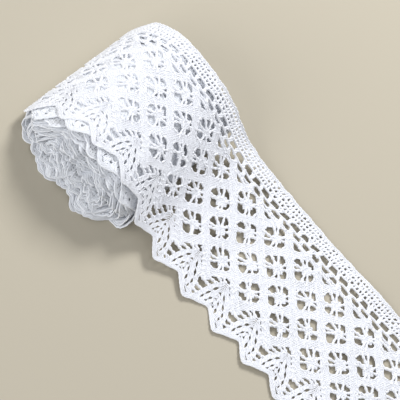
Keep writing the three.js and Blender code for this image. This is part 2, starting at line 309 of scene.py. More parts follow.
def colour_in_hex(name, hex_value, description):
    """A colour that is given here in hex."""
    colour = linear(hex_value)
    return FloatVectorProperty(name=name, description=description, default=colour, subtype="COLOR", size=3)


class LaceSizes(bpy.types.PropertyGroup):
    """The thread and how closely the lace is worked."""

    yarn: size_in_mm("Yarn", 0.8, "Diameter of one cotton thread")
    pair_yarn: size_in_mm("Pair yarn", 1.25, "Diameter of a thread in the twisted pairs, which lie fuller")
    sides: IntProperty(name="Sides", description="Sides of one thread", default=4, min=3, max=8)
    band: size_in_mm("Band", 5.0, "Width of the cloth-stitch bands round the diamonds")
    rise: size_in_mm("Rise", 0.2, "How far a thread rises and dips where it is woven")
    stitch: size_in_mm("Stitch", 1.25, "Length of one woven stitch")
    twist: size_in_mm("Twist", 2.6, "Length in which a pair of threads twists once")
    seed: IntProperty(name="Seed", description="Which unevenness the hand-fed threads get", default=7)


class LaceColours(bpy.types.PropertyGroup):
    """The cotton's white, the same cotton painted a little greyer as painted shade for the turns inside the
    roll, and the floor.
    """

    cotton: colour_in_hex("Cotton", 0xEFF1F7, "Bleached cotton in the light")
    # inner is the same bleached cotton painted a little greyer and bluer: painted shade for the turns inside
    # the roll, which lie out of the light
    inner: colour_in_hex("Inner cotton", 0xECEFF5, "Bleached cotton between the turns")
    floor: colour_in_hex("Floor", 0xB9B2A2, "Pale matt floor")


def smooth(t):
    """A share from 0 to 1, eased at both ends."""
    return t * t * (3 - 2 * t)


def eased(places, stops, values):
    """The value at each place, eased from every stop to the next."""
    stops, values = np.array(stops, float), np.array(values, float)
    places = np.clip(places, stops[0], stops[-1])
    after = np.clip(np.searchsorted(stops, places), 1, len(stops) - 1)
    share = (places - stops[after - 1]) / (stops[after] - stops[after - 1])
    return values[after - 1] + (values[after] - values[after - 1]) * smooth(share)


def settled(x, name):
    """How far the lap is drawn in or leans at each X."""
    return eased(x, SETTLING["x"], SETTLING[name])


def lengths_along(line):
    """The distance from a line's first point to each of its points."""
    return np.concatenate([[0], np.cumsum(np.linalg.norm(np.diff(line, axis=0), axis=1))])


SIDE_ALONG = np.arange(STRIP_END, STRIP_START - 4 * SIDE_STEP, -SIDE_STEP)
SIDE_SLOPE = np.radians(eased(SIDE_ALONG[:-1] - SIDE_STEP / 2, *zip(*SLOPES)))
SIDE_X = STRIP_END * REPEAT - np.concatenate([[0], np.cumsum(np.cos(SIDE_SLOPE))]) * SIDE_STEP * REPEAT
SIDE_Z = CLOTH / 2 + np.concatenate([[0], np.cumsum(np.sin(SIDE_SLOPE))]) * SIDE_STEP * REPEAT


def lifted(along, across):
    """How far the free end stands off the floor, in millimetres: it never lies quite flat."""
    height = np.zeros(len(along))
    free = smooth(np.clip((along - LIFT_START) / (LIFT_FULL - LIFT_START), 0, 1))
    for pace_along, pace_across, start, high in LIFTS:
        turned = along * pace_along + across * pace_across + start
        height += high * (1 + np.sin(turned)) / 2
    return height * free


def placed(x, y, z):
    """Millimetres of the strip as metres of the frame. The strip's far corner is the box's."""
    corner = STRIP_BOX[1]
    return np.column_stack([
        x * MM + corner.x - STRIP_END * REPEAT * MM,
        y * MM + corner.y - HEADING * LEVEL * MM,
        z * MM,
    ])


def leant(x, y):
    """The lean moves whatever lies nearer the heading further along X, in the roll as in its lap."""
    share = np.clip((y / LEVEL - TIP) / (HEADING - TIP), 0, 1)
    return x + settled(x, "lean") * share


def on_strip(flat, yarn):
    """A thread's flat places, with their height over the middle layer, laid on the loose end."""
    along, across, above = flat[:, 0] / REPEAT, flat[:, 1] / LEVEL, flat[:, 2]
    slope = np.radians(eased(along, *zip(*SLOPES)))
    x = np.interp(-along, -SIDE_ALONG, SIDE_X) + np.sin(slope) * above
    z = np.interp(-along, -SIDE_ALONG, SIDE_Z) + np.cos(slope) * above + lifted(along, across)
    tips, heading = settled(x, "tips"), settled(x, "heading")
    share = (across - TIP) / (HEADING - TIP)
    y = flat[:, 1] + tips + (heading - tips) * share
    return placed(leant(x, y), y, np.maximum(z, yarn / 2 + FLOOR_GAP))


def closed_outline():
    """The roll's outline as fine steps round it, weighed by the roots of its sides so that it never loops."""
    corners = np.array(OUTLINE, float)
    line = []
    for i in range(len(corners)):
        a, b, c, d = (corners[(i + k) % len(corners)] for k in (-1, 0, 1, 2))
        ab, bc, cd = (math.dist(p, q) ** 0.5 for p, q in ((a, b), (b, c), (c, d)))
        start = ((b - a) / ab - (c - a) / (ab + bc) + (c - b) / bc) * bc
        end = ((c - b) / bc - (d - b) / (bc + cd) + (d - c) / cd) * bc
        t = np.linspace(0, 1, OUTLINE_STEPS, endpoint=False)[:, None]
        bend = 2 * b - 2 * c + start + end
        line.append(bend * t**3 + (3 * c - 3 * b - 2 * start - end) * t**2 + start * t + b)
    line = np.vstack(line)
    line[:, 1] = np.maximum(line[:, 1], 0)
    return line


ROLL_LINE = closed_outline()


def slipped(x, z):
    """How much the turns have slipped: most at the floor, less at the left nose, not at all at the right."""
    low = 1 - z / ROLL_HEIGHT
    from_left = smooth(np.clip((x - SLIP["left"]) / SLIP["left_run"], 0, 1))
    from_right = smooth(np.clip((SLIP["right"] - x) / SLIP["right_run"], 0, 1))
    return low * (SLIP["least"] + (1 - SLIP["least"]) * from_left) * from_right


def roll_end(x, z, near):
    """Where in Y the turns end: near the camera their scallops, and at the far end their headings."""
    if near:
        return NEAR_TOP - NEAR_LEAN * slipped(x, z)
    return FAR_TOP - FAR_LEAN * slipped(x, z)


def turn_line(inward, sunk=0.0):
    """One turn's closed line: sunk by millimetres under the outline, or a share of the way in to the core."""
    step = np.roll(ROLL_LINE, -1, axis=0) - np.roll(ROLL_LINE, 1, axis=0)
    step /= np.linalg.norm(step, axis=1, keepdims=True)
    line = ROLL_LINE - np.column_stack([-step[:, 1], step[:, 0]]) * sunk
    core = np.column_stack([
        np.clip(line[:, 0], CORE["left"], CORE["right"]),
        np.full(len(line), CORE["z"]),
    ])
    return line + (core - line) * inward


class Turn:
    """A closed turn of the roll: finds the place and the outward side at any length round it."""

    def __init__(self, line):
        self.closed = np.vstack([line, line[:1]])
        self.run = lengths_along(self.closed)
        self.length = self.run[-1]

    def place(self, run):
        """X and Z at a length round the turn."""
        run = np.mod(run, self.length)
        return [np.interp(run, self.run, self.closed[:, axis]) for axis in (0, 1)]

    def at(self, run):
        """X and Z at a length round the turn, and the way that is outward there."""
        (x, z), ahead, back = (self.place(run + step) for step in (0, TURN_STEP, -TURN_STEP))
        dx, dz = ahead[0] - back[0], ahead[1] - back[1]
        size = np.hypot(dx, dz)
        return x, z, -dz / size, dx / size


def on_turn(flat, turn, stand_out, yarn):
    """A thread's flat places laid round a closed turn of the roll."""
    run = (flat[:, 0] / REPEAT + TURN_SHIFT) / TURN_REPEATS * turn.length
    x, z, out_x, out_z = turn.at(run)
    x, z = x + out_x * flat[:, 2], z + out_z * flat[:, 2]
    near, far = roll_end(x, z, True) - stand_out, roll_end(x, z, False)
    y = near + (flat[:, 1] / LEVEL - TIP) / (HEADING - TIP) * (far - near)
    return placed(leant(x, y), y, np.maximum(z, yarn / 2 + FLOOR_GAP))


def smooth_line(points, pitch):
    """A smooth line through the points, cut into even steps."""
    points = np.asarray(points, float)
    ends = np.vstack([2 * points[0] - points[1], points, 2 * points[-1] - points[-2]])
    t = np.linspace(0, 1, LINE_STEPS, endpoint=False)[:, None]
    line = []
    for a, b, c, d in zip(ends, ends[1:], ends[2:], ends[3:]):
        bend = 3 * b - a - 3 * c + d
        line.append(b + (c - a) / 2 * t + (2 * a - 5 * b + 4 * c - d) / 2 * t**2 + bend / 2 * t**3)
    line = np.vstack([*line, points[-1:]])
    run = lengths_along(line)
    stops = np.linspace(0, run[-1], max(2, round(run[-1] / pitch) + 1))
    return np.column_stack([np.interp(stops, run, line[:, axis]) for axis in (0, 1)])


def resampled(line, shares):
    """The line's points at the given shares of its length."""
    run = lengths_along(line)
    return np.column_stack([np.interp(shares * run[-1], run, line[:, axis]) for axis in (0, 1)])


def sideways(line):
    """The way to the left of the line at each of its points."""
    ahead = np.gradient(line, axis=0)
    ahead /= np.linalg.norm(ahead, axis=1, keepdims=True)
    return np.column_stack([-ahead[:, 1], ahead[:, 0]])


def at(along, across):
    """A place on the flat strip, from repeats and levels to millimetres."""
    return np.array([along * REPEAT, across * LEVEL])


def in_runs(thread, shown):
    """The parts of the thread whose points are shown, without any single points."""
    kept = np.flatnonzero(shown)
    runs = np.split(kept, np.flatnonzero(np.diff(kept) > 1) + 1)
    return [thread[run] for run in runs if len(run) > 1]


class Pillow:
    """Works the lace flat, thread by thread, with one seed for its unevenness."""

    def __init__(self, sizes, stitch_scale=1.0):
        self.yarn = sizes.yarn / MM
        self.band_width = sizes.band / MM
        self.rise = sizes.rise / MM
        self.stitch = sizes.stitch / MM * stitch_scale
        self.twist = sizes.twist / MM
        self.seed = sizes.seed
        self.random = np.random.default_rng(sizes.seed)
        self.cloth = []
        self.pairs = []

    def laid(self, line, k, under=None):
        """One of the threads that lie side by side: it rises and dips in turn with the next."""
        over = np.where((np.arange(len(line)) + k) % 2, self.rise, -self.rise)
        shown = np.ones(len(line), bool) if under is None else ~under(line)
        self.cloth += in_runs(np.column_stack([line, over]), shown)

    def woven(self, points, width, under=None):
        """A band of threads side by side, as in cloth stitch."""
        line = smooth_line(points, self.stitch)
        side = sideways(line)
        count = max(2, round(width / (self.yarn * CLOSENESS)))
        for k in range(count):
            offset = (k / (count - 1) - 0.5) * (width - self.yarn)
            self.laid(line + side * offset, k, under)

    def twisted(self, a, b, bow=0.0, tight=1.0, spread=(0.0, 0.0)):
        """Two threads twisted round each other from a to b, parting by the spread at each end."""
        a, b = np.asarray(a, float), np.asarray(b, float)
        length = np.linalg.norm(b - a)
        t = np.linspace(0, 1, max(3, math.ceil(length / self.stitch / PAIR_STEP) + 1))[:, None]
        side = np.array([a[1] - b[1], b[0] - a[0]]) / length
        line = a + (b - a) * t + side * bow * 4 * t * (1 - t)
        turned = self.random.uniform(0, 2 * math.pi) + 2 * math.pi * length * t / self.twist
        parted = spread[0] * (1 - t) ** 3 + spread[1] * t**3
        swing = self.yarn * PLY * tight
        for half, way in ((0, -1), (math.pi, 1)):
            lean = swing * np.cos(turned + half) + way * parted
            self.pairs.append(np.hstack([line + side * lean, swing * np.sin(turned + half)]))

    def spider(self, along, across):
        """The woven body in a diamond, its legs, and the pairs that round off the diamond's corners."""
        corner = at(along, across)
        middle = corner + SPIDER["middle"] + self.random.normal(0, SPIDER["stray"], 2)
        half = SPIDER["size"] / 2 * self.random.uniform(*SPIDER["vary"])
        lean = np.array(SPIDER["facing"]) * half
        self.woven([middle - lean, middle + lean], 2 * half)
        for leg in SPIDER_LEGS:
            foot = corner + leg + self.random.normal(0, SPIDER["stray"], 2)
            inward = (middle - foot) / np.linalg.norm(middle - foot)
            spread = (LEG["foot"] * self.random.uniform(*LEG["vary"]), LEG["body"])
            tight = self.random.uniform(*LEG_TIGHT)
            ends = (foot - inward * LEG["past"], middle - inward * half * LEG["into"])
            self.twisted(*ends, self.random.normal(0, LEG["bow"]), tight, spread)
        for row in CORNERS:
            ends = [corner + end + self.random.normal(0, CORNER["stray"], 2) for end in row]
            self.twisted(*ends, self.random.uniform(*CORNER["bow"]), CORNER["tight"])

    def strayed(self, along, row, base, stray):
        """The two ends of a pair, each a little out of its place."""
        return [at(along + a, base + b) + self.random.normal(0, stray, 2) for a, b in row]

    def fan(self, along):
        """The chevrons over one scallop with their slits, the firm edge, and the pairs that join them."""
        outer = smooth_line([at(along + a, b) for a, b in FAN_OUTER], FAN["outer_pitch"])
        inner = smooth_line([at(along + a, b) for a, b in FAN_INNER], FAN["inner_pitch"])
        share = np.linspace(0, 1, FAN["points"])
        outer, inner = (resampled(line, share) for line in (outer, inner))
        jitter = self.random.normal(0, FAN["stray"], (len(FAN_SLITS), 2))
        for k in range(FAN["threads"]):
            line = outer + (inner - outer) * (k / (FAN["threads"] - 1))
            count = max(4, round(lengths_along(line)[-1] / self.stitch * FAN["closer"]))
            line = resampled(line, np.linspace(0, 1, count))
            for (a, b, *slit), moved in zip(FAN_SLITS, jitter):
                line = self.parted(line, at(along + a, b) + moved, *slit)
            self.laid(line, k)
        edge = np.array([at(along + a, TIP + SCALLOP_DEPTH * (1 - depth)) for a, depth in SCALLOP])
        self.woven(edge + sideways(edge) * BORDER_WIDTH / 2, BORDER_WIDTH)
        for row in BRIDGES:
            ends = self.strayed(along, row, 0, BRIDGE["stray"])
            self.twisted(*ends, 0, BRIDGE["tight"], BRIDGE["spread"])

    def parted(self, line, middle, length, width, lean):
        """The thread bowed round a slit, on the side where it already runs."""
        facing = math.radians(lean)
        ahead = np.array([math.cos(facing), math.sin(facing)])
        aside = np.array([-ahead[1], ahead[0]])
        along, away = (line - middle) @ ahead, (line - middle) @ aside
        near = np.abs(away) < SLIT["reach"]
        share = np.clip(1 - (along / (length * SLIT["half"])) ** 2, 0, 1) * near
        if not share.any():
            return line
        way = 1 if away[np.argmax(share)] >= 0 else -1
        half = (width + self.yarn) / 2
        moved = way * np.sqrt(away**2 + share * half**2) - away
        return line + np.outer(np.where(share > 0, moved, 0), aside)

    def top_cell(self, along):
        """The pairs in the open triangle under the heading, and the posts that stand over it."""
        for *row, bow in TOP_CELL:
            ends = self.strayed(along, row, SPIDER_LEVELS[-1], CELL["stray"])
            self.twisted(*ends, bow, CELL["tight"], CELL["spread"])
        for posts, low, high in (
            (LOW_POSTS, BAND_TIE["across"], TIE["across"]),
            (POSTS, TIE["across"], HEADING_ROWS[0]),
        ):
            for post in posts:
                foot = at(along + post, low) + self.random.normal(0, POST["stray"], 2)
                top = at(along + post, high) + [self.random.normal(0, POST["stray"]), 0]
                for way in (-1, 1):
                    lean = way * POST["lean"] * self.random.uniform(*POST["vary"])
                    ends = (foot + [lean * POST["foot"], 0], top + [lean, 0])
                    self.twisted(*ends, 0, POST["tight"], POST["spread"])

    def heading(self, start, end):
        """The firm heading: its ties and rows of pairs, its two woven bands, and the net between them."""
        for a in np.arange(math.floor(start), end, TIE["step"]):
            ends = (at(a, TIE["across"]), at(a + TIE["length"], TIE["across"]))
            self.twisted(*ends, self.random.normal(*TIE["bow"]), HEADING_TIGHT)
        for across in HEADING_ROWS:
            self.twisted(at(start, across), at(end, across), 0, HEADING_TIGHT)
        for row in (HEADING_EDGE, BAND_TIE):
            stops = np.arange(start, end + BAND_STEPS["past"], BAND_STEPS["step"])
            edge = np.array([at(along, row["across"]) for along in stops])
            edge[:, 1] += self.random.normal(0, BAND_STEPS["stray"], len(edge))
            self.woven(edge, row["width"])
        tops = [*HEADING_ROWS[1:], HEADING_EDGE["across"] - NET["under_edge"]]
        for low, high in zip(HEADING_ROWS, tops):
            shift = self.random.uniform(0, NET["pitch"])
            for x in np.arange(start * REPEAT + shift, end * REPEAT, NET["pitch"]):
                foot = [x + self.random.normal(0, NET["foot"]), low * LEVEL]
                top = [x + self.random.normal(NET["slant"], NET["top"]), high * LEVEL]
                self.twisted(foot, top, 0, HEADING_TIGHT, NET["spread"])

    def under_crossing(self, line):
        """Where a band's own threads lie hidden under the band that crosses it."""
        along, across = line[:, 0] / REPEAT, line[:, 1] / LEVEL
        level = np.round(across)
        crossing = np.round(along - level / 2) + level / 2
        away = np.hypot((along - crossing) * REPEAT, (across - level) * LEVEL)
        return away < self.band_width * CROSSING

    def work(self, start, end):
        """The whole lace from start to end, in repeats."""
        self.heading(start, end)
        for repeat in range(math.floor(start) - 3, math.ceil(end) + 3):
            rising = [at(repeat + level / 2, level) for level in BAND_LEVELS]
            falling = [at(repeat - level / 2, level) for level in BAND_LEVELS]
            self.woven(rising, self.band_width)
            self.woven(falling, self.band_width, self.under_crossing)
            for level in SPIDER_LEVELS:
                self.spider(repeat + (0 if level % 2 else 0.5), level)
            self.fan(repeat)
            self.top_cell(repeat)
        self.cloth = [self.uneven(thread) for thread in self.cloth]
        self.pairs = [self.uneven(thread) for thread in self.pairs]
        return self

    def uneven(self, thread):
        """Draws the threads a little out of place in long, slow bends that join whatever they cross."""
        random = np.random.default_rng(self.seed + 1)
        moved = thread.copy()
        for length, amount in UNEVENNESS:
            facing, pull, start = random.uniform(0, 2 * math.pi, 3)
            along = thread[:, 0] * math.cos(facing) + thread[:, 1] * math.sin(facing)
            wave = amount * np.sin(along * 2 * math.pi / length + start)
            moved[:, 0] += wave * math.cos(pull)
            moved[:, 1] += wave * math.sin(pull)
        return moved


def cut_to(threads, start, end):
    """The parts of the threads between two places along the strip."""
    parts = []
    for thread in threads:
        parts += in_runs(thread, (thread[:, 0] >= start * REPEAT) & (thread[:, 0] <= end * REPEAT))
    return parts


def add_node(tree, kind, inputs=None, **settings):
    """Adds a node, sets its properties, and sets its inputs or links them: a node gives its first output."""
    node = tree.nodes.new(kind)
    for name, value in settings.items():
        setattr(node, name, value)
    for name, value in (inputs or {}).items():
        if isinstance(value, bpy.types.Node):
            value = value.outputs[0]
        if isinstance(value, bpy.types.NodeSocket):
            tree.links.new(value, node.inputs[name])
        else:
            node.inputs[name].default_value = value
    return node


def yarn_tree():
    """Sweeps a thread of even thickness along every line of a mesh."""
    tree = bpy.data.node_groups.new("Threads along their lines", "GeometryNodeTree")
    for name, way, kind in (
        ("Geometry", "INPUT", "NodeSocketGeometry"),
        ("Yarn", "INPUT", "NodeSocketFloat"),
        ("Sides", "INPUT", "NodeSocketInt"),
        ("Finish", "INPUT", "NodeSocketMaterial"),
        ("Geometry", "OUTPUT", "NodeSocketGeometry"),
    ):
        tree.interface.new_socket(name, in_out=way, socket_type=kind)
    given = add_node(tree, "NodeGroupInput")
    radius = add_node(tree, "ShaderNodeMath", {0: given.outputs["Yarn"], 1: 0.5}, operation="MULTIPLY")
    circle = add_node(
        tree,
        "GeometryNodeCurvePrimitiveCircle",
        {"Resolution": given.outputs["Sides"], "Radius": radius},
        mode="RADIUS",
    )
    share = add_node(tree, "GeometryNodeSplineParameter")
    section = add_node(
        tree,
        "GeometryNodeStoreNamedAttribute",
        {"Geometry": circle, "Name": "around", "Value": share},
        data_type="FLOAT",
        domain="POINT",
    )
    lines = add_node(tree, "GeometryNodeMeshToCurve", {"Mesh": given})
    swept = add_node(
        tree, "GeometryNodeCurveToMesh", {"Curve": lines, "Profile Curve": section, "Fill Caps": True}
    )
    rounded = add_node(tree, "GeometryNodeSetShadeSmooth", {"Geometry": swept, "Shade Smooth": True})
    real = add_node(tree, "GeometryNodeRealizeInstances", {"Geometry": rounded})
    finished = add_node(
        tree, "GeometryNodeSetMaterial", {"Geometry": real, "Material": given.outputs["Finish"]}
    )
    add_node(tree, "NodeGroupOutput", {"Geometry": finished})
    return tree


def lines_mesh(name, lines):
    """One mesh of edges only, a chain for each line, with the distance along it at every point."""
    counts = np.array([len(line) for line in lines])
    points = np.vstack(lines)
    starts = np.concatenate([[0], np.cumsum(counts)[:-1]])
    first = np.delete(np.arange(len(points)), starts + counts - 1)
    mesh = bpy.data.meshes.new(name)
    mesh.vertices.add(len(points))
    mesh.vertices.foreach_set("co", points.astype(np.float32).ravel())
    mesh.edges.add(len(first))
    mesh.edges.foreach_set("vertices", np.column_stack([first, first + 1]).astype(np.int32).ravel())
    step = np.concatenate([[0], np.linalg.norm(np.diff(points, axis=0), axis=1)])
    step[starts] = 0
    run = np.cumsum(step)
    run -= np.repeat(run[starts], counts)
    attribute = mesh.attributes.new("run", "FLOAT", "POINT")
    attribute.data.foreach_set("value", (run / MM).astype(np.float32))
    mesh.update()
    return mesh


def threads_piece(name, lines, yarn, sides, material):
    """A plain mesh of threads swept along the lines."""
    carrier = bpy.data.objects.new(name + "_lines", lines_mesh(name + "_lines", lines))
    bpy.context.scene.collection.objects.link(carrier)
    tree = bpy.data.node_groups.get("Threads along their lines") or yarn_tree()
    modifier = carrier.modifiers.new("Threads", "NODES")
    modifier.node_group = tree
    sockets = {item.name: item.identifier for item in tree.interface.items_tree if item.in_out == "INPUT"}
    modifier[sockets["Yarn"]] = yarn
    modifier[sockets["Sides"]] = sides
    modifier[sockets["Finish"]] = material
    graph = bpy.context.evaluated_depsgraph_get()
    mesh = bpy.data.meshes.new_from_object(carrier.evaluated_get(graph), depsgraph=graph)
    mesh.name = name
    bpy.data.objects.remove(carrier)
    piece = bpy.data.objects.new(name, mesh)
    bpy.context.scene.collection.objects.link(piece)
    if not mesh.polygons:
        raise RuntimeError(f"{name} came out empty")
    return piece


def mesh_piece(name, points, faces, places, material):
    """A plain mesh that keeps, at every point, the place on the cloth that its finish follows."""
    mesh = bpy.data.meshes.new(name)
    mesh.from_pydata(points.tolist(), [], faces)
    attribute = mesh.attributes.new("cloth_place", "FLOAT2", "POINT")
    attribute.data.foreach_set("vector", places.astype(np.float32).ravel())
    mesh.polygons.foreach_set("use_smooth", np.ones(len(mesh.polygons), bool))
    mesh.materials.append(material)
    mesh.update()
    piece = bpy.data.objects.new(name, mesh)
    bpy.context.scene.collection.objects.link(piece)
    return piece


def slab_piece(name, grids, material):
    """Closed thin cloths: each grid is an upper and a lower layer of points that goes round a turn."""
    points, faces, places = [], [], []
    count = 0
    for upper, lower, place in grids:
        around, rows = upper.shape[:2]
        index = np.arange(around * rows).reshape(around, rows) + count
        under = index + around * rows
        count += 2 * around * rows
        points += [upper.reshape(-1, 3), lower.reshape(-1, 3)]
        places += [place.reshape(-1, 2), place.reshape(-1, 2)]
        ahead, below = np.roll(index, -1, axis=0), np.roll(under, -1, axis=0)
        for row in range(rows - 1):
            after = row + 1
            faces.append(np.column_stack([index[:, row], ahead[:, row], ahead[:, after], index[:, after]]))
            faces.append(np.column_stack([under[:, row], under[:, after], below[:, after], below[:, row]]))
        faces.append(np.column_stack([index[:, 0], under[:, 0], below[:, 0], ahead[:, 0]]))
        faces.append(np.column_stack([index[:, -1], ahead[:, -1], below[:, -1], under[:, -1]]))
    return mesh_piece(name, np.vstack(points), np.vstack(faces).tolist(), np.vstack(places), material)


def matt_finish(name, values):
    """A new material with the values of its shader, and the tree that its pattern is built in."""
    material = bpy.data.materials.new(name)
    material.use_nodes = True
    shader = material.node_tree.nodes["Principled BSDF"]
    for socket, value in values.items():
        shader.inputs[socket].default_value = value
    return material, material.node_tree, shader


def cotton_thread(name, colour):
    """Bleached cotton, spun and plied: dead white and matt, with a fine twist under a faint fuzz."""
    # Plant fibre has an index of about 1.53, and its loose ends break up all but the faintest gloss
    material, tree, shader = matt_finish(name, {
        "Base Color": (*colour, 1),
        "IOR": COTTON_IOR,
        "Metallic": 0.0,
        "Roughness": 0.88,
        "Specular IOR Level": 0.25,
        "Sheen Weight": 0.15,
    })
    # The two plies show as two ridges that go once round the thread in each twist
    run = add_node(tree, "ShaderNodeAttribute", attribute_name="run")
    around = add_node(tree, "ShaderNodeAttribute", attribute_name="around")
    wound = add_node(
        tree,
        "ShaderNodeMath",
        {0: run.outputs["Fac"], 1: 1 / PLY_TWIST, 2: around.outputs["Fac"]},
        operation="MULTIPLY_ADD",
    )
    turned = add_node(tree, "ShaderNodeMath", {0: wound, 1: 4 * math.pi}, operation="MULTIPLY")
    plies = add_node(tree, "ShaderNodeMath", {0: turned}, operation="SINE")
    # A cotton fibre is 0.02 mm thick, too fine to show, so the fuzz is drawn as coarse as it needs
    place = add_node(tree, "ShaderNodeTexCoord")
    fuzz = add_node(
        tree,
        "ShaderNodeTexNoise",
        {"Vector": place.outputs["Object"], "Scale": 1 / (FUZZ * MM), "Detail": 3.0},
    )
    height = add_node(tree, "ShaderNodeMath", {0: plies, 1: PLY_HEIGHT, 2: fuzz}, operation="MULTIPLY_ADD")
    bump = add_node(tree, "ShaderNodeBump", {"Height": height, "Strength": 0.5, "Distance": 0.08 * MM})
    tree.links.new(bump.outputs["Normal"], shader.inputs["Normal"])
    return material


def packed_lace(name, colour, opening_shade):
    """Bleached cotton lace, woven and wound tight: a soft matt grid, with painted shade greying its dents and
    the gaps between its pairs.
    """
    values = {"IOR": COTTON_IOR, "Metallic": 0.0, "Roughness": 0.92, "Specular IOR Level": 0.2}
    material, tree, shader = matt_finish(name, values)
    place = add_node(tree, "ShaderNodeAttribute", attribute_name="cloth_place")
    parts = add_node(tree, "ShaderNodeSeparateXYZ", {"Vector": place.outputs["Vector"]})
    pace = 2 * math.pi / THREAD_SPACING
    waves = []
    for axis in ("X", "Y"):
        turned = add_node(tree, "ShaderNodeMath", {0: parts.outputs[axis], 1: pace}, operation="MULTIPLY")
        waves.append(add_node(tree, "ShaderNodeMath", {0: turned}, operation="SINE"))
    weave = add_node(tree, "ShaderNodeMath", {0: waves[0], 1: waves[1]}, operation="MULTIPLY")
    # The gaps between the twisted pairs, painted grey as the shade that lies in them, drawn a little wider
    # apart than they are, or they wouldn't show
    spread = add_node(
        tree,
        "ShaderNodeVectorMath",
        {0: place.outputs["Vector"], "Scale": 1 / OPENING_SPACING},
        operation="SCALE",
    )
    gaps = add_node(
        tree,
        "ShaderNodeTexVoronoi",
        {"Vector": spread, "Scale": 1.0, "Randomness": 0.6},
        voronoi_dimensions="2D",
    )
    opening_painted_shade = add_node(tree, "ShaderNodeValToRGB", {"Fac": gaps})
    # The dents: one noise dents the cloth through the bump and, through a ramp, paints shade into its hollows
    objects = add_node(tree, "ShaderNodeTexCoord")
    dent_relief_and_shade = add_node(
        tree,
        "ShaderNodeTexNoise",
        {"Vector": objects.outputs["Object"], "Scale": 1 / (DENT * MM), "Detail": 4.0},
    )
    dent_painted_shade = add_node(tree, "ShaderNodeValToRGB", {"Fac": dent_relief_and_shade})
    for ramp, rim, shades in (
        (opening_painted_shade, OPENING_RIM, ([1 - opening_shade] * 3, [1, 1, 1])),
        (dent_painted_shade, DENT_RIM, ([channel * DENT_SHADE for channel in colour], colour)),
    ):
        for stop, position, shade in zip(ramp.color_ramp.elements, rim, shades):
            stop.position = position
            stop.color = (*shade, 1)
    # The painted shade of the gaps and the dents, multiplied into the cotton's colour
    shaded = add_node(tree, "ShaderNodeVectorMath", {0: dent_painted_shade, 1: opening_painted_shade}, operation="MULTIPLY")
    tree.links.new(shaded.outputs["Vector"], shader.inputs["Base Color"])
    height = add_node(
        tree, "ShaderNodeMath", {0: weave, 1: WEAVE_HEIGHT, 2: dent_relief_and_shade}, operation="MULTIPLY_ADD"
    )
    bump = add_node(tree, "ShaderNodeBump", {"Height": height, "Strength": 0.7, "Distance": 0.25 * MM})
    tree.links.new(bump.outputs["Normal"], shader.inputs["Normal"])
    return material


def finish_named(name, make, *looks):
    """The named material, made the first time that it is asked for."""
    return bpy.data.materials.get(name) or make(name, *looks)


class LACE_OT_loose_end(bpy.types.Operator):
    """Works the lap over the roll and the end that lies flat, thread by thread."""

    bl_idname = "lace.loose_end"
    bl_label = "Lap and loose end"

    def execute(self, context):
        sizes = context.scene.lace_sizes
        colours = context.scene.lace_colours
        finish = finish_named("bleached cotton thread", cotton_thread, colours.cotton)
        pillow = Pillow(sizes).work(STRIP_START, STRIP_END)
        pieces = []
        for name, threads, thick in (
            ("cloth_stitch", pillow.cloth, sizes.yarn),
            ("twisted_pairs", pillow.pairs, sizes.pair_yarn),
        ):
            lines = [on_strip(thread, thick / MM) for thread in cut_to(threads, STRIP_START, STRIP_END)]
            pieces.append(threads_piece(name, lines, thick, sizes.sides, finish))
            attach(pieces[-1], "root")
            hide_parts("loose_end")
        return {"FINISHED"}


class LACE_OT_outer_turn(bpy.types.Operator):
    """Works the roll's outermost turn, which shows through the lap and round the noses."""

    bl_idname = "lace.outer_turn"
    bl_label = "Outer turn"

    def execute(self, context):
        sizes = context.scene.lace_sizes
        colours = context.scene.lace_colours
        # The outer turn takes the cotton painted greyer, as painted shade under the lap
        finish = finish_named("inner cotton thread", cotton_thread, colours.inner)
        pillow = Pillow(sizes, TURN_STITCH)
        pillow.seed += TURN_SEED
        pillow.work(0, TURN_REPEATS)
        turn = Turn(turn_line(0, TURN_SUNK))
        thick = sizes.yarn * TURN_YARN
        pieces = []
        for name, threads in (("turn_cloth_stitch", pillow.cloth), ("turn_twisted_pairs", pillow.pairs)):
            parts = cut_to(threads, 0, TURN_REPEATS)
            lines = [on_turn(thread, turn, TURN_OUT, thick / MM) for thread in parts]
            pieces.append(threads_piece(name, lines, thick, sizes.sides, finish))
            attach(pieces[-1], "root")
            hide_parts("wound_roll")
        return {"FINISHED"}


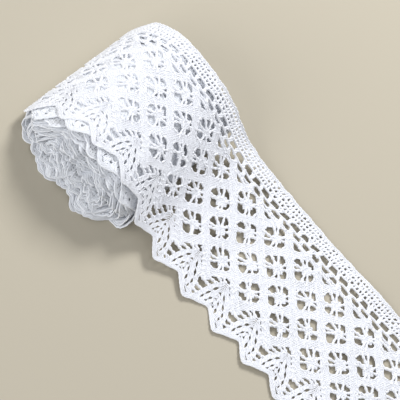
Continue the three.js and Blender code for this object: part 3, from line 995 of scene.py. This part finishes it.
def turn_end(index, near, random, yarn):
    """The end of one turn, ruffled: its edge's threads, the thin cloth behind them, and its length."""
    bundle, within = divmod(index, BUNDLE)
    order = bundle * BUNDLE + (BUNDLE - 1) / 2 + (within - (BUNDLE - 1) / 2) * BUNDLE_SQUEEZE
    inward = END_INWARD[0] + (END_INWARD[1] - END_INWARD[0]) * order / END_COUNT
    turn = Turn(turn_line(inward))
    bundled = np.random.default_rng([bundle, near])
    share = np.arange(END_STEPS) / END_STEPS
    x, z, out_x, out_z = turn.at(share * turn.length)
    outward, endward = np.zeros(END_STEPS), np.zeros(END_STEPS)
    for number, (waves, high, long, shift) in enumerate(RUFFLES):
        turned = 2 * math.pi * waves * share + shift * index + number * RUFFLE_START
        outward += high * np.sin(turned)
        endward += long * np.cos(turned + RUFFLE_LAG)
    scallops = max(1, round(turn.length / REPEAT))
    phase = bundled.uniform(0, 1) + TURN_STRAY * random.uniform(-0.5, 0.5)
    notch = 0.5 - 0.5 * np.cos(2 * math.pi * (share * scallops + phase))
    out = bundled.uniform(*END_SLIP) + TURN_STRAY * random.uniform(*END_SLIP)
    edge = roll_end(x, z, near)
    if near:
        edge = edge - out + endward + (notch - 0.5) * NEAR_NOTCH
    else:
        edge = edge + out * FAR_CALM["slip"] - endward * FAR_CALM["ruffle"]

    def layer(depth, off, lowest):
        flare = (1 - depth / END_DEPTHS[-1]) ** END_FLARE
        lift = outward * flare + off
        y = edge + depth * (1 if near else -1)
        lifted_x, lifted_z = x + out_x * lift, np.maximum(z + out_z * lift, lowest)
        return placed(leant(lifted_x, y), y, lifted_z)

    lowest = yarn / 2 + FLOOR_GAP
    threads = [layer(depth, EDGE_WEAVE * (-1) ** k, lowest) for k, depth in enumerate(EDGE_THREADS)]
    threads = [np.vstack([thread, thread[:1]]) for thread in threads]
    upper = np.stack([layer(depth, END_HALF, LOWEST_CLOTH["upper"]) for depth in END_DEPTHS], axis=1)
    lower = np.stack([layer(depth, -END_HALF, LOWEST_CLOTH["lower"]) for depth in END_DEPTHS], axis=1)
    run = share * turn.length
    places = [np.column_stack([run, np.full(END_STEPS, depth)]) for depth in END_DEPTHS]
    layers = (upper, lower) if near else (lower, upper)
    return threads, (*layers, np.stack(places, axis=1)), turn.length


class LACE_OT_inner_turns(bpy.types.Operator):
    """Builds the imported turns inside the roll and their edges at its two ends."""

    bl_idname = "lace.inner_turns"
    bl_label = "Inner turns"

    def execute(self, context):
        sizes = context.scene.lace_sizes
        colours = context.scene.lace_colours
        # The edges' threads and the cloths take the cotton painted a little greyer, as painted shade inside
        # the roll
        cotton = finish_named("inner cotton thread", cotton_thread, colours.inner)
        packed = finish_named("packed cotton lace", packed_lace, colours.inner, 0.0)
        # The ruffled ends also get grey spots painted in their gaps, as shade
        ruffled = finish_named("ruffled cotton lace", packed_lace, colours.inner, OPENING_PAINTED_SHADE)
        for name, near in (("scalloped_ends", True), ("heading_ends", False)):
            random = np.random.default_rng(sizes.seed + END_SEED + near)
            ends = [turn_end(index, near, random, sizes.yarn / MM) for index in range(END_COUNT)]
            cloth = slab_piece(name, [grid for _, grid, _ in ends], ruffled)
            lines = [line for threads, _, _ in ends for line in threads]
            edging = threads_piece(name + "_threads", lines, sizes.yarn, sizes.sides, cotton)
            for piece in (cloth, edging):
                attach(piece, "root")
                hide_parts("wound_roll")
        self.core(packed)
        return {"FINISHED"}

    def core(self, material):
        """The mass of turns under the outer one, closed at both ends a little inside their edges."""
        outer = Turn(turn_line(0, CORE_SUNK))
        run = np.arange(CORE_STEPS) / CORE_STEPS * outer.length
        round_x, round_z, _, _ = outer.at(run)
        middle_x = np.clip(round_x, CORE["left"], CORE["right"])
        near_rings = [(inward, True) for inward in CORE_RINGS]
        far_rings = [(inward, False) for inward in reversed(CORE_RINGS)]
        rings, places = [], []
        for inward, near in near_rings + far_rings:
            x = round_x + (middle_x - round_x) * inward
            z = np.maximum(round_z + (CORE["z"] - round_z) * inward, LOWEST_CLOTH["lower"])
            y = roll_end(x, z, near) + (CORE_INSIDE["near"] if near else -CORE_INSIDE["far"])
            rings.append(placed(leant(x, y), y, z))
            places.append(np.column_stack([run, y]))
        points = np.vstack([*rings, rings[0].mean(axis=0)[None], rings[-1].mean(axis=0)[None]])
        places = np.vstack([*places, [[0, 0]], [[0, 0]]])
        first = len(rings) * CORE_STEPS
        back = first - CORE_STEPS
        faces = []
        for i in range(CORE_STEPS):
            after = (i + 1) % CORE_STEPS
            for start in range(0, back, CORE_STEPS):
                ahead = start + CORE_STEPS
                faces.append((start + i, ahead + i, ahead + after, start + after))
            faces.append((first, i, after))
            faces.append((first + 1, back + after, back + i))
        piece = mesh_piece("packed_turns", points, faces, places, material)
        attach(piece, "root")
        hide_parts("wound_roll")


class LACE_OT_stage(bpy.types.Operator):
    """Sets the pale floor, the soft light and the camera."""

    bl_idname = "lace.stage"
    bl_label = "Floor, light and camera"

    def execute(self, context):
        scene = context.scene
        self.camera(scene)
        self.floor(scene)
        self.lights(scene)
        return {"FINISHED"}

    def camera(self, scene):
        tilt, roll = math.radians(VIEW["elevation"]), math.radians(VIEW["roll"])
        back = Vector((0, -math.cos(tilt), math.sin(tilt)))
        level_right = Vector((1, 0, 0))
        level_up = back.cross(level_right)
        right = level_right * math.cos(roll) + level_up * math.sin(roll)
        up = level_up * math.cos(roll) - level_right * math.sin(roll)
        target = Vector(placed(*np.array(VIEW["target"])[:, None])[0])
        camera = bpy.data.objects.new("camera", bpy.data.cameras.new("camera"))
        for name, value in CAMERA.items():
            setattr(camera.data, name, value)
        turned = Matrix((right, up, back)).transposed().to_4x4()
        camera.matrix_world = Matrix.Translation(target + back * VIEW["distance"] * MM) @ turned
        scene.collection.objects.link(camera)
        scene.camera = camera

    def floor(self, scene):
        # Emulsion paint rolled on board: even, pale and without gloss, so the lace alone draws the eye
        values = {"Base Color": (*scene.lace_colours.floor, 1), "Roughness": 0.9, "Specular IOR Level": 0.1}
        material = matt_finish("matt painted board", values)[0]
        mesh = bpy.data.meshes.new("floor")
        corners = [(x * FLOOR_HALF, y * FLOOR_HALF, 0) for x, y in ((-1, -1), (1, -1), (1, 1), (-1, 1))]
        mesh.from_pydata(corners, [], [(0, 1, 2, 3)])
        mesh.materials.append(material)
        floor = bpy.data.objects.new("floor", mesh)
        scene.collection.objects.link(floor)

    def lights(self, scene):
        world = bpy.data.worlds.new("soft room")
        world.use_nodes = True
        background = world.node_tree.nodes["Background"]
        background.inputs["Color"].default_value = (*linear(ROOM["colour"]), 1)
        background.inputs["Strength"].default_value = ROOM["strength"]
        scene.world = world
        for name, place, size, power in LIGHTS:
            light = bpy.data.lights.new(name, "AREA")
            light.shape = "SQUARE"
            light.size = size
            light.energy = power
            lamp = bpy.data.objects.new(name, light)
            lamp.location = place
            lamp.rotation_euler = (-Vector(place)).to_track_quat("-Z", "Y").to_euler()
            scene.collection.objects.link(lamp)
        scene.view_settings.view_transform = "Standard"


STEPS = (LACE_OT_stage, LACE_OT_loose_end, LACE_OT_outer_turn, LACE_OT_inner_turns)


class LACE_PT_panel(bpy.types.Panel):
    """The lace's sizes, colours and pieces."""

    bl_label = "Roll of lace trim"
    bl_idname = "LACE_PT_panel"
    bl_space_type = "VIEW_3D"
    bl_region_type = "UI"
    bl_category = "Lace"

    def draw(self, context):
        for group in (context.scene.lace_sizes, context.scene.lace_colours):
            for name in group.__annotations__:
                self.layout.prop(group, name)
        for step in STEPS:
            self.layout.operator(step.bl_idname)


CLASSES = (LaceSizes, LaceColours, *STEPS, LACE_PT_panel)


def register():
    for kind in CLASSES:
        bpy.utils.register_class(kind)
    bpy.types.Scene.lace_sizes = PointerProperty(type=LaceSizes)
    bpy.types.Scene.lace_colours = PointerProperty(type=LaceColours)


def unregister():
    del bpy.types.Scene.lace_sizes
    del bpy.types.Scene.lace_colours
    for kind in reversed(CLASSES):
        bpy.utils.unregister_class(kind)


def main():
    register()
    for step in STEPS:
        group, name = step.bl_idname.split(".")
        getattr(getattr(bpy.ops, group), name)()


if __name__ == "__main__":
    main()
